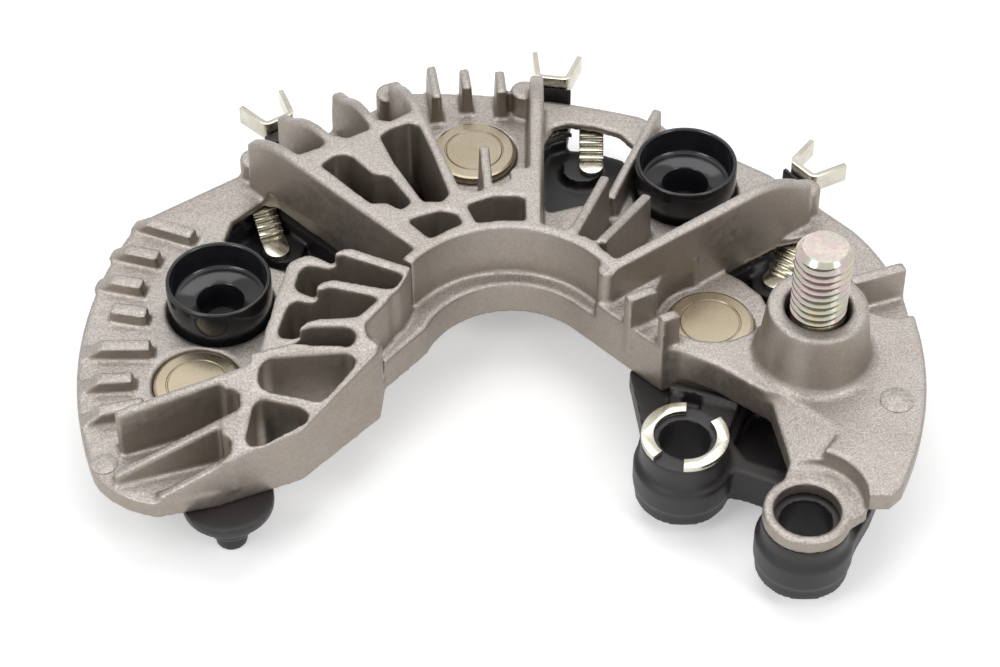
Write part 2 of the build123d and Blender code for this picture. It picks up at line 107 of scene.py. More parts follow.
@dataclass(frozen=True)
class PartFrame:
    """Where the plan's origin and the plate's top face lie in the frame of the part."""

    shift_x: float = 0.4
    shift_y: float = -8.35
    plate_top: float = 12.5

    def point(self, x: float, y: float, z: float) -> Vector:
        """Return a plan point and a height above the plate as a place in metres."""
        return Vector((x + self.shift_x, y + self.shift_y, z + self.plate_top)) * MM


FRAME = PartFrame()


@dataclass(frozen=True)
class PlanForms:
    """Plan outlines of the finer forms of the casting and the carrier."""

    lattice: Outline = (
        (-12.6, 1.9), (-14.2, 2.5), (-21.6, 5.8), (-22.4, 5.6), (-23.5, 5.0), (-24.1, 4.8), (-26.6, 6.4),
        (-27.8, 6.7), (-29.1, 6.2), (-30.3, 5.3), (-30.8, 4.4), (-31.15, 2.3), (-31.55, 0.3), (-32.1, -1.7),
        (-32.6, -5.7), (-33.1, -7.7), (-33.45, -10.7), (-33.8, -12.4), (-34.7, -13.3), (-35.2, -15.8),
        (-36.7, -17.1), (-38.4, -17.8), (-38.4, -30.1), (-27.6, -25.6), (-17.0, -13.9), (-16.9, -12.8),
        (-18.6, -11.4), (-19.5, -10.2), (-19.6, -9.2), (-15.9, -4.3), (-14.2, -2.4), (-13.3, -0.2))
    pockets: tuple[Outline, ...] = (
        ((-28.9, 2.9), (-28.3, 4.2), (-27.5, 4.5), (-26.4, 4.3), (-24.4, 3.7), (-22.6, 4.4), (-14.2, 0.7),
         (-13.9, -0.2), (-14.9, -2.1), (-15.9, -2.5), (-17.6, -2.1), (-23.7, -0.6), (-25.3, -1.1),
         (-26.0, -1.9), (-27.1, -1.6), (-28.9, -0.6), (-29.3, 0.5)),
        ((-29.7, -3.0), (-28.9, -2.6), (-26.5, -3.2), (-25.3, -2.6), (-24.2, -2.1), (-17.8, -3.9),
         (-17.3, -4.6), (-19.8, -7.7), (-20.6, -8.0), (-25.6, -8.4), (-27.0, -8.9), (-28.2, -9.9),
         (-29.7, -10.0), (-31.0, -9.7), (-31.2, -8.6), (-30.3, -4.3)),
        ((-27.8, -10.3), (-26.9, -9.9), (-21.4, -9.9), (-20.3, -10.7), (-20.2, -11.7), (-20.9, -12.8),
         (-29.0, -12.3), (-29.5, -11.4)),
        ((-39.6, -19.2), (-37.6, -18.7), (-36.2, -19.2), (-36.0, -21.6), (-36.8, -22.7), (-39.6, -23.9)),
        ((-39.6, -25.7), (-37.9, -25.5), (-37.0, -26.3), (-37.0, -28.2), (-37.6, -29.2), (-39.6, -30.1)))
    through: tuple[Outline, ...] = (
        ((-33.3, -15.2), (-32.2, -14.4), (-24.2, -14.0), (-21.2, -13.9), (-20.1, -14.8), (-20.4, -16.0),
         (-23.8, -20.1), (-24.6, -20.8), (-25.6, -20.8), (-32.0, -19.3), (-33.3, -18.4), (-33.6, -17.2)),
        ((-34.1, -21.3), (-33.1, -20.4), (-27.8, -21.7), (-26.4, -22.7), (-26.7, -24.0), (-30.9, -26.2),
         (-32.8, -27.2), (-34.3, -27.3), (-34.9, -26.2)))
    step: Outline = (
        (-23.8, 8.0), (-23.8, 3.4), (-26.0, 0.5), (-26.2, -4.0), (-28.1, -8.5), (-28.2, -10.5),
        (-29.3, -12.2), (-34.0, -13.4), (-40.0, -13.4), (-40.0, 8.0))
    lattice_room: Outline = (
        (-12.4, 2.4), (-13.4, -0.2), (-14.3, -2.4), (-16.0, -4.3), (-19.7, -9.2), (-19.6, -10.2),
        (-18.7, -11.4), (-16.4, -12.6), (-16.4, -14.2), (-27.0, -27.0), (-38.4, -31.8), (-38.4, -16.4),
        (-35.8, -13.2), (-33.6, -4.0), (-32.5, 3.0), (-31.0, 7.5), (-24.0, 8.0), (-14.5, 3.8))
    fan_room: Outline = (
        (7.1, 47.5), (7.1, 12.4), (10.0, 10.4), (13.2, 7.6), (15.8, 4.9), (17.5, 5.1), (20.6, 7.3),
        (22.2, 15.0), (22.6, 24.0), (26.6, 45.5), (24.0, 47.0))
    fan: tuple[tuple[Place, Place, Place], ...] = (
        ((15.7, 23.1), (10.6, 8.9), (9.9, 12.0)), ((21.9, 20.7), (14.6, 7.2), (8.3, 12.0)),
        ((24.6, 45.0), (16.6, 24.5), (3.5, 4.0)), ((-53.2, -22.7), (-34.6, -15.6), (7.8, 9.8)),
        ((-53.4, -28.5), (-35.6, -22.4), (1.7, 8.2)), ((-47.2, -31.5), (-36.4, -28.7), (0.6, 6.0)))
    windows: tuple[Outline, ...] = (
        ((-41.4, 19.4), (-40.4, 23.6), (-36.2, 28.0), (-33.8, 27.4), (-18.6, 12.6), (-21.0, 8.8),
         (-28.0, 8.6), (-31.0, 12.6), (-36.0, 14.6)),
        ((6.8, 26.0), (6.8, 41.0), (8.2, 44.6), (10.4, 45.5), (14.8, 44.8), (18.6, 43.2), (20.8, 40.2),
         (16.9, 28.0), (15.8, 27.3), (12.6, 27.2), (7.6, 25.6)),
        ((33.4, 13.0), (41.8, 19.0), (45.8, 20.2), (47.4, 17.0), (46.8, 6.0), (40.0, 3.8), (38.6, 8.0),
         (36.0, 11.0)))
    old_window: Outline = (
        (6.2, 26.0), (6.2, 41.3), (10.2, 47.0), (18.4, 46.2), (22.4, 38.6), (18.9, 28.2), (12.6, 26.4))
    front: Outline = (
        (18.8, -4.3), (20.2, -14.9), (19.4, -20.0), (25.9, -21.6), (31.8, -23.7), (34.7, -24.5),
        (38.7, -26.4), (42.0, -35.1), (48.4, -37.0), (51.5, -31.3), (54.5, -24.0), (51.0, -5.0), (36.0, -4.0))
    front_room: Outline = ((12.0, -4.4), (12.0, -45.0), (60.0, -45.0), (60.0, -20.0), (56.0, -4.4))
    bay: Outline = (
        (34.8, -13.6), (36.5, -10.5), (44.0, -12.5), (43.5, -24.0), (39.8, -23.4), (35.0, -21.6),
        (33.2, -18.5))
    arm: Outline = (
        (29.0, -21.4), (34.9, -22.7), (39.4, -24.9), (42.0, -30.0), (38.7, -26.4), (34.7, -24.5),
        (31.8, -23.7), (27.0, -22.6))
    block: Outline = ((24.8, -9.3), (34.3, -12.5), (32.4, -17.8), (28.0, -20.0), (23.6, -15.2))
    bar: Outline = ((24.7, -9.0), (34.4, -12.3), (34.0, -13.4), (24.3, -10.1))
    groove: Outline = ((26.4, -10.4), (29.0, -11.4), (27.4, -19.6), (25.2, -18.2))
    peg_room: Outline = ((-56.0, -23.8), (-26.0, -23.8), (-26.0, -40.0), (-56.0, -40.0))
    posts: Outline = ((-33.0, 22.6), (12.9, 40.5), (41.0, 15.2))
    straps: tuple[tuple[Place, Place], ...] = (
        ((-36.8, 29.8), (-33.9, 21.8)), ((14.4, 46.9), (14.3, 40.3)), ((45.3, 21.2), (41.4, 15.2)))
    hooks: Outline = ((123.7, 58.4), (81.8, 60.3), (40.3, 60.0))
    hub: Place = (-0.4, -8.0)
    peg: Place = (-38.0, -28.4)
    lug: Place = (42.0, -35.1)
    contact: Place = (25.9, -21.6)
    stud: Place = (44.4, -9.3)
    right_diode: Place = (30.6, 1.4)


PLAN = PlanForms()


def placed(name: str, data: bpy.types.ID) -> bpy.types.Object:
    """Make an object of its data and link it to the scene.

    Args:
        name: Name of the object.
        data: Its mesh, lamp or camera.

    Returns:
        The object.
    """
    made = bpy.data.objects.new(name, data)
    bpy.context.scene.collection.objects.link(made)
    return made


def meshed(shape: Shape, name: str) -> Mesh:
    """Turn a shape into a mesh and free it.

    Args:
        shape: Shape to turn into a mesh.
        name: Name of the mesh.

    Returns:
        The mesh.
    """
    mesh = bpy.data.meshes.new(name)
    shape.to_mesh(mesh)
    shape.free()
    return mesh


def shaped(mesh: Mesh) -> Shape:
    """Turn a mesh into a shape and remove it.

    Args:
        mesh: Mesh to turn into a shape.

    Returns:
        The shape.
    """
    shape = bmesh.new()
    shape.from_mesh(mesh)
    bpy.data.meshes.remove(mesh)
    return shape


def cleaned(shape: Shape) -> Shape:
    """Merge the corners of a shape that coincide and turn its faces outward.

    Args:
        shape: Shape to clean.

    Returns:
        The same shape.
    """
    bmesh.ops.remove_doubles(shape, verts=shape.verts, dist=MERGED)
    bmesh.ops.recalc_face_normals(shape, faces=shape.faces)
    return shape


def circle(place: Place, radius: float, start: float = 0.0, sweep: float = 360.0, steps: int = 64) -> Outline:
    """Return plan points along a circle or an arc, the angles in degrees.

    Args:
        place: Plan point in the middle.
        radius: Radius in millimetres.
        start: Angle of the first point.
        sweep: Angle from the first point to the last.
        steps: Number of straight pieces.

    Returns:
        The points, anticlockwise.
    """
    count = steps if sweep >= 360.0 else steps + 1
    turns = [radians(start + sweep * part / steps) for part in range(count)]
    return tuple((place[0] + radius * cos(turn), place[1] + radius * sin(turn)) for turn in turns)


def grown(outline: Outline, margin: float) -> Outline:
    """Return an outline pushed out from its middle by about a margin, in millimetres.

    Args:
        outline: Outline to push out.
        margin: How far, in millimetres.

    Returns:
        The larger outline.
    """
    x = sum(corner[0] for corner in outline) / len(outline)
    y = sum(corner[1] for corner in outline) / len(outline)
    pushed = []
    for px, py in outline:
        reach = hypot(px - x, py - y)
        pushed.append((px + (px - x) * margin / reach, py + (py - y) * margin / reach))
    return tuple(pushed)


def band(start: Place, end: Place, width: float) -> Outline:
    """Return the outline of a straight band between two plan points.

    Args:
        start: Middle of the first end.
        end: Middle of the other end.
        width: Width in millimetres.

    Returns:
        The four corners.
    """
    along = (Vector(end) - Vector(start)).normalized() * (width / 2)
    x, y = -along.y, along.x
    return ((start[0] + x, start[1] + y), (start[0] - x, start[1] - y), (end[0] - x, end[1] - y),
            (end[0] + x, end[1] + y))


class ShaderGraph:
    """A short way to write the nodes of one material."""

    def __init__(self, name: str) -> None:
        """Start an empty node tree with its output, for a material of this name.

        Args:
            name: Name of the material.
        """
        self.material = bpy.data.materials.new(name)
        self.material.use_nodes = True
        self.tree = self.material.node_tree
        self.tree.nodes.clear()
        self.output = self.tree.nodes.new("ShaderNodeOutputMaterial")

    def node(self, kind: str, fed: dict | None = None, **settings: object) -> bpy.types.ShaderNode:
        """Add a node with its inputs fed and its properties set.

        Args:
            kind: Type of the node without the ShaderNode prefix.
            fed: What its inputs are fed, by name or number.
            settings: Properties set on it.

        Returns:
            The node.
        """
        made = self.tree.nodes.new("ShaderNode" + kind)
        for key, value in settings.items():
            setattr(made, key, value)
        for key, value in (fed or {}).items():
            self.feed(made.inputs[key], value)
        return made

    def link(self, source: Socket, target: Socket) -> None:
        """Join an output to an input."""
        self.tree.links.new(source, target)

    def feed(self, target: Socket, value: object) -> None:
        """Give an input a number, a colour or a link.

        Args:
            target: Input to feed.
            value: A number, a colour or the output to join.
        """
        if isinstance(value, (int, float)):
            target.default_value = value
        elif isinstance(value, tuple):
            target.default_value = (*value, 1.0)
        else:
            self.link(value, target)

    def coordinates(self) -> Socket:
        """Return the object coordinates, in metres."""
        return self.node("TexCoord").outputs["Object"]

    def upward(self) -> Socket:
        """Return how far a face looks up, from -1 to 1."""
        normal = self.node("NewGeometry").outputs["True Normal"]
        return self.node("SeparateXYZ", {"Vector": normal}).outputs["Z"]

    def noise(self, where: Socket, scale: float, detail: float = 3.0, rough: float = 0.6) -> Socket:
        """Return noise from 0 to 1, its scale in features per metre, with octaves and their weight."""
        fed = {"Vector": where, "Scale": scale, "Detail": detail, "Roughness": rough}
        return self.node("TexNoise", fed).outputs["Fac"]

    def stretched(self, where: Socket, scale: Point) -> Socket:
        """Return coordinates scaled unevenly, for streaks.

        Args:
            where: Coordinates to scale.
            scale: Scale along each axis.

        Returns:
            The scaled coordinates.
        """
        made = self.node("Mapping", {"Vector": where})
        made.inputs["Scale"].default_value = scale
        return made.outputs["Vector"]

    def ramp(self, value: Socket, stops: list[tuple[float, Colour]]) -> Socket:
        """Turn a value into a colour by stops, each a place from 0 to 1 with its colour.

        Args:
            value: Value from 0 to 1.
            stops: Places from 0 to 1, each with its colour.

        Returns:
            The colour.
        """
        made = self.node("ValToRGB", {"Fac": value})
        elements = made.color_ramp.elements
        while len(elements) < len(stops):
            elements.new(0.5)
        for element, (place, colour) in zip(elements, stops):
            element.position = place
            element.color = (*colour, 1.0)
        return made.outputs["Color"]

    def remap(self, value: Socket, low: float, high: float, new_low: float = 0.0,
              new_high: float = 1.0) -> Socket:
        """Map a value from one range to another, clamped."""
        fed = {"Value": value, "From Min": low, "From Max": high, "To Min": new_low, "To Max": new_high}
        return self.node("MapRange", fed).outputs["Result"]

    def math(self, kind: str, first: object, second: object) -> Socket:
        """Add a sum on two values, each a socket or a number."""
        return self.node("Math", {0: first, 1: second}, operation=kind).outputs["Value"]

    def mix(self, factor: object, first: object, second: object, blend: str = "MIX") -> Socket:
        """Blend two colours, each a socket or a tuple, by a factor from 0 to 1."""
        fed = {0: factor, 6: first, 7: second}
        return self.node("Mix", fed, data_type="RGBA", blend_type=blend).outputs[2]

    def bump(self, height: Socket, distance: float, strength: float) -> Socket:
        """Return a normal bumped by a height from 0 to 1 over a distance in metres."""
        fed = {"Height": height, "Distance": distance, "Strength": strength}
        return self.node("Bump", fed).outputs["Normal"]

    def principled(self, colour: Socket, roughness: Socket, metallic: float,
                   normal: Socket) -> bpy.types.Material:
        """Finish the material with one shader and return it.

        Args:
            colour: Colour of the surface.
            roughness: Its roughness.
            metallic: 1 for a metal, 0 for a plastic.
            normal: Its bumped normal.

        Returns:
            The material.
        """
        fed = {"Base Color": colour, "Roughness": roughness, "Metallic": metallic, "Normal": normal}
        self.link(self.node("BsdfPrincipled", fed).outputs["BSDF"], self.output.inputs["Surface"])
        return self.material


@dataclass(frozen=True)
class CastSkin:
    """Die-cast aluminium as it leaves the die: grainy faces and smoother drawn sides, with the tops painted
    lighter as painted light from above and the sides painted a darker brown-grey as painted shade.
    """

    # The top colour is painted lighter, as painted light from above, and the side colour darker, as painted
    # shade; the grain and the smoother drawn sides are the casting's own.
    lit_top_colour: Colour = (0.400, 0.366, 0.338)
    shaded_side_colour: Colour = (0.330, 0.288, 0.248)
    stain_colour: Colour = (0.25, 0.20, 0.155)
    grain: float = 3300.0
    pits: float = 900.0
    grain_depth: float = 0.00012

    def material(self) -> bpy.types.Material:
        """Return the material.

        Returns:
            The material.
        """
        graph = ShaderGraph("cast_aluminium_skin")
        where = graph.coordinates()
        facing_up = graph.remap(graph.math("ABSOLUTE", graph.upward(), 0.0), 0.25, 0.85)
        grain = graph.noise(where, self.grain, 2.0, 0.7)
        pits = graph.noise(where, self.pits, 4.0, 0.65)
        clouds = graph.noise(where, 70.0, 4.0, 0.6)
        streaks = graph.noise(graph.stretched(where, (1.0, 1.0, 0.12)), 1400.0, 3.0, 0.6)
        # Painted light and shade: faces that look up take the lighter top colour, and the sides take the
        # darker side colour.
        colour = graph.mix(facing_up, self.shaded_side_colour, self.lit_top_colour)
        stain = graph.remap(clouds, 0.5, 0.72, 0.0, 0.35)
        colour = graph.mix(stain, colour, self.stain_colour)
        speckle = graph.remap(grain, 0.34, 0.68, 0.74, 1.26)
        speckle_colour = graph.node("CombineColor", {key: speckle for key in ("Red", "Green", "Blue")})
        share = graph.remap(facing_up, 0.0, 1.0, 0.35, 1.0)
        colour = graph.mix(share, colour, graph.mix(1.0, colour, speckle_colour.outputs["Color"], "MULTIPLY"))
        rough_grain = graph.math("MULTIPLY", facing_up, graph.math("ADD", grain, pits))
        rough_side = graph.math("MULTIPLY", streaks, graph.math("SUBTRACT", 1.0, facing_up))
        height = graph.math("ADD", rough_grain, graph.math("MULTIPLY", rough_side, 0.25))
        normal = graph.bump(height, self.grain_depth, 0.55)
        roughness = graph.remap(pits, 0.3, 0.7, 0.36, 0.54)
        return graph.principled(colour, roughness, 0.85, normal)


@dataclass(frozen=True)
class Plating:
    """A plated metal with a little cloudiness and fine marks, and, where asked, painted shade on the faces
    that look down.
    """

    name: str
    colours: tuple[tuple[float, Colour], ...]
    roughness: tuple[float, float]
    clouds: float = 180.0
    mark_scale: Point = (1.0, 1.0, 1.0)
    marks: float = 3000.0
    mark_depth: float = 0.00001
    painted_flank_shade: float = 0.0
    painted_shade_colour: Colour = (0.05, 0.04, 0.035)

    def material(self) -> bpy.types.Material:
        """Return the material.

        Returns:
            The material.
        """
        graph = ShaderGraph(self.name)
        where = graph.coordinates()
        clouds = graph.noise(where, self.clouds, 3.0, 0.55)
        colour = graph.ramp(clouds, list(self.colours))
        # Painted shade: faces that look down, such as the lower flanks of the thread, are darkened towards
        # the shade colour.
        if self.painted_flank_shade:
            below = graph.remap(graph.upward(), -0.6, 0.1, self.painted_flank_shade, 0.0)
            colour = graph.mix(below, colour, self.painted_shade_colour)
        marks = graph.noise(graph.stretched(where, self.mark_scale), self.marks, 2.0, 0.6)
        roughness = graph.remap(marks, 0.3, 0.7, *self.roughness)
        normal = graph.bump(marks, self.mark_depth, 0.4)
        return graph.principled(colour, roughness, 1.0, normal)


@dataclass(frozen=True)
class Moulding:
    """A moulded plastic or a cured resin, glossy or matte, with a fine texture."""

    name: str
    colour: Colour
    roughness: tuple[float, float]
    grain: float = 2400.0
    grain_depth: float = 0.00002

    def material(self) -> bpy.types.Material:
        """Return the material.

        Returns:
            The material.
        """
        graph = ShaderGraph(self.name)
        where = graph.coordinates()
        grain = graph.noise(where, self.grain, 2.0, 0.6)
        clouds = graph.noise(where, 160.0, 3.0, 0.6)
        lighter = tuple(min(1.0, part * 1.5 + 0.004) for part in self.colour)
        colour = graph.mix(graph.remap(clouds, 0.35, 0.75), self.colour, lighter)
        roughness = graph.remap(clouds, 0.3, 0.7, *self.roughness)
        return graph.principled(colour, roughness, 0.0, graph.bump(grain, self.grain_depth, 0.5))


def finishes() -> dict[Slot, bpy.types.Material]:
    """Return the finish of each material slot.

    Returns:
        The materials by slot.
    """
    nickel = ((0.30, (0.34, 0.285, 0.205)), (0.50, (0.375, 0.32, 0.235)), (0.72, (0.41, 0.355, 0.27)))
    tin = ((0.30, (0.50, 0.475, 0.39)), (0.55, (0.62, 0.595, 0.51)), (0.75, (0.68, 0.66, 0.59)))
    zinc = ((0.32, (0.55, 0.49, 0.35)), (0.44, (0.58, 0.53, 0.46)), (0.52, (0.58, 0.46, 0.46)),
            (0.60, (0.49, 0.51, 0.42)), (0.70, (0.62, 0.55, 0.40)))
    copper = ((0.30, (0.62, 0.36, 0.24)), (0.70, (0.78, 0.50, 0.36)))
    return {
        Slot.CASTING: CastSkin().material(),
        Slot.DIODE_CUP: Plating("nickel_plating", nickel, (0.26, 0.36), clouds=110.0,
                                mark_depth=0.000004).material(),
        Slot.STRIP: Plating("bright_tin", tin, (0.16, 0.30), clouds=260.0).material(),
        # The stud's yellow zinc gets painted shade on the lower flanks of its thread.
        Slot.STUD: Plating("yellow_zinc", zinc, (0.14, 0.24), clouds=150.0, painted_flank_shade=0.72).material(),
        Slot.LEAD: Plating("drawn_copper", copper, (0.25, 0.4)).material(),
        Slot.BUSH: Moulding("glossy_black_moulding", (0.007, 0.007, 0.009), (0.11, 0.17),
                            grain_depth=0.000004).material(),
        Slot.CARRIER: Moulding("matte_black_moulding", (0.0105, 0.0088, 0.0090), (0.40, 0.52)).material(),
        Slot.DIE: Moulding("passivated_silicon", (0.10, 0.11, 0.13), (0.12, 0.2)).material(),
        Slot.RESIN: Moulding("cured_resin", (0.05, 0.042, 0.04), (0.4, 0.55)).material(),
    }


class Workshop:
    """Makes pieces out of bmeshes and CAD copies, and enters them in the frame."""

    def __init__(self, frame: dict, materials: dict[Slot, bpy.types.Material]) -> None:
        """Keep the frame's nodes and the finish of each slot."""
        self.nodes = frame["nodes"]
        self.materials = materials

    def enter(self, mesh: Mesh, name: str, slot: Slot, *nodes: str, sharp: float = 35.0) -> bpy.types.Object:
        """Make a piece of a finished mesh and let it stand for CAD nodes.

        Args:
            mesh: Finished mesh of the piece.
            name: Name of the piece.
            slot: Its material slot.
            nodes: CAD nodes that it stands for; without them it is only added.
            sharp: Angle in degrees over which edges stay sharp.

        Returns:
            The piece.
        """
        piece = placed(name, mesh)
        mesh.materials.clear()
        mesh.materials.append(self.materials[slot])
        mesh.shade_smooth()
        mesh.set_sharp_from_angle(angle=radians(sharp))
        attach(piece, "root")
        if nodes:
            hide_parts(*nodes)
        log.info("%s: %d faces", name, len(mesh.polygons))
        return piece

    def merged(self, node: str) -> Shape:
        """Return a merged copy of a CAD node's mesh.

        Args:
            node: Name of the CAD node.

        Returns:
            The copy.
        """
        shape = bmesh.new()
        shape.from_mesh(self.nodes[node].data)
        return cleaned(shape)

    def prism(self, shape: Shape, corners: Outline, low: float, high: float) -> None:
        """Add an upright prism over a plan outline, between two levels, to a shape.

        Args:
            shape: Shape that takes the prism.
            corners: Plan outline.
            low: Level of the foot in millimetres.
            high: Level of the top in millimetres.
        """
        base = shape.faces.new([shape.verts.new(FRAME.point(x, y, low)) for x, y in corners])
        raised = bmesh.ops.extrude_face_region(shape, geom=[base])
        moved = [item for item in raised["geom"] if isinstance(item, bmesh.types.BMVert)]
        bmesh.ops.translate(shape, verts=moved, vec=(0.0, 0.0, (high - low) * MM))
        bmesh.ops.recalc_face_normals(shape, faces=shape.faces)

    def hull(self, shape: Shape, points: list[Point]) -> None:
        """Add the convex hull of plan points with levels to a shape.

        Args:
            shape: Shape that takes the hull.
            points: Plan points with their levels.
        """
        verts = [shape.verts.new(FRAME.point(*point)) for point in points]
        bmesh.ops.convex_hull(shape, input=verts)
        bmesh.ops.recalc_face_normals(shape, faces=shape.faces)

    def rib(self, shape: Shape, start: Place, end: Place, heights: Place, width: float = 1.5,
            draft: float = 2.0, foot: float = -0.5) -> None:
        """Add a drafted rib whose crest runs between two heights.

        Args:
            shape: Shape that takes the rib.
            start: Plan point where the crest starts.
            end: Plan point where it ends.
            heights: Levels of the crest at both ends.
            width: Width of the crest in millimetres.
            draft: Slope of the flanks in degrees.
            foot: Level of the foot.
        """
        points = []
        for place, height in ((start, heights[0]), (end, heights[1])):
            base = width / 2 + (height - foot) * tan(radians(draft))
            for level, half in ((foot, base), (height, width / 2)):
                corners = band(start, end, 2 * half)
                points += [(x, y, level) for x, y in (corners[:2] if place is start else corners[2:])]
        self.hull(shape, points)

    def cut(self, shape: Shape, cutter: Shape) -> Shape:
        """Cut one shape out of another, free both and return what is left.

        Args:
            shape: Shape to cut.
            cutter: Shape to take away.

        Returns:
            What is left.
        """
        mesh = meshed(cutter, "cutter")
        tool = placed("cutter", mesh)
        settings = {"operation": "DIFFERENCE", "solver": "EXACT", "object": tool}
        left = self.baked(shape, "left", [("BOOLEAN", settings)])
        bpy.data.objects.remove(tool)
        bpy.data.meshes.remove(mesh)
        return shaped(left)

    def solid(self, outlines: tuple[Outline, ...], low: float, high: float) -> Shape:
        """Return a new shape of upright prisms.

        Args:
            outlines: Plan outlines of the prisms.
            low: Level of the foot in millimetres.
            high: Level of the top in millimetres.

        Returns:
            The new shape.
        """
        shape = bmesh.new()
        for corners in outlines:
            self.prism(shape, corners, low, high)
        return shape

    def without(self, shape: Shape, outlines: tuple[Outline, ...], low: float, high: float) -> Shape:
        """Cut upright prisms, apart from one another, out of a shape."""
        return self.cut(shape, self.solid(outlines, low, high))

    def join(self, shape: Shape, other: Shape) -> None:
        """Add one shape to another and free the first.

        Args:
            shape: Shape that takes the other.
            other: Shape to add, which is freed.
        """
        mesh = meshed(other, "joined")
        shape.from_mesh(mesh)
        bpy.data.meshes.remove(mesh)

    def skin(self, shape: Shape, name: str, voxel: float, smoothing: int, triangles: int) -> Mesh:
        """Melt overlapping shells into one skin with soft edges, and free them.

        Args:
            shape: Overlapping shells.
            name: Name of the mesh.
            voxel: Grain of the skin in millimetres.
            smoothing: Number of smoothing passes.
            triangles: Most triangles that it may have.

        Returns:
            The mesh of the skin.
        """
        voxel *= 1.0
        cast = [("REMESH", {"mode": "VOXEL", "voxel_size": voxel * MM, "adaptivity": 0.0})]
        if smoothing:
            cast.append(("SMOOTH", {"factor": 0.5, "iterations": smoothing}))
        whole = shaped(self.baked(shape, name + "_skin", cast))
        self.drop_slivers(whole)
        count = sum(len(face.verts) - 2 for face in whole.faces)
        if count > triangles:
            return self.baked(whole, name, [("DECIMATE", {"ratio": triangles / count})])
        return meshed(whole, name)

    def drop_slivers(self, shape: Shape) -> None:
        """Keep the largest island of a shape and delete the loose slivers round it.

        Args:
            shape: Shape to clear.
        """
        left = set(shape.verts)
        islands = []
        for seed in shape.verts:
            if seed not in left:
                continue
            left.discard(seed)
            island = [seed]
            for vert in island:
                near = [edge.other_vert(vert) for edge in vert.link_edges]
                fresh = [other for other in near if other in left]
                left.difference_update(fresh)
                island.extend(fresh)
            islands.append(island)
        islands.sort(key=len, reverse=True)
        for island in islands[1:]:
            bmesh.ops.delete(shape, geom=island, context="VERTS")

    def baked(self, shape: Shape, name: str, modifiers: list[tuple[str, dict[str, object]]]) -> Mesh:
        """Run modifiers on a shape, free it and return the mesh that they leave.

        Args:
            shape: Shape to work on.
            name: Name of the mesh.
            modifiers: Type and settings of each modifier.

        Returns:
            The mesh that they leave.
        """
        rough = bpy.data.meshes.new(name + "_rough")
        shape.to_mesh(rough)
        shape.free()
        carrier = placed(name + "_rough", rough)
        for kind, settings in modifiers:
            modifier = carrier.modifiers.new(kind.lower(), kind)
            for key, value in settings.items():
                setattr(modifier, key, value)
        evaluated = carrier.evaluated_get(bpy.context.evaluated_depsgraph_get())
        mesh = bpy.data.meshes.new_from_object(evaluated)
        mesh.name = name
        bpy.data.objects.remove(carrier)
        bpy.data.meshes.remove(rough)
        return mesh

    def eased(self, shape: Shape, name: str, width: float, angle: float = 32.0) -> Mesh:
        """Bevel the edges of a shape over an angle in degrees, by a width in millimetres."""
        easing = {"width": width * MM, "segments": 2, "limit_method": "ANGLE", "angle_limit": radians(angle)}
        return self.baked(shape, name, [("BEVEL", easing)])

    def turned(self, outline: list[Place], centre: Vector, steps: int = 96) -> Shape:
        """Spin an outline about an upright axis.

        Args:
            outline: Radii and levels in millimetres.
            centre: Place of the axis in metres.
            steps: Number of steps round.

        Returns:
            The closed shape.
        """
        shape = bmesh.new()
        verts = [shape.verts.new(centre + Vector((radius, 0.0, height)) * MM) for radius, height in outline]
        edges = [shape.edges.new(pair) for pair in zip(verts, verts[1:])]
        bmesh.ops.spin(shape, geom=verts + edges, cent=centre, axis=(0.0, 0.0, 1.0), angle=2 * pi,
                       steps=steps, use_merge=True)
        return cleaned(shape)


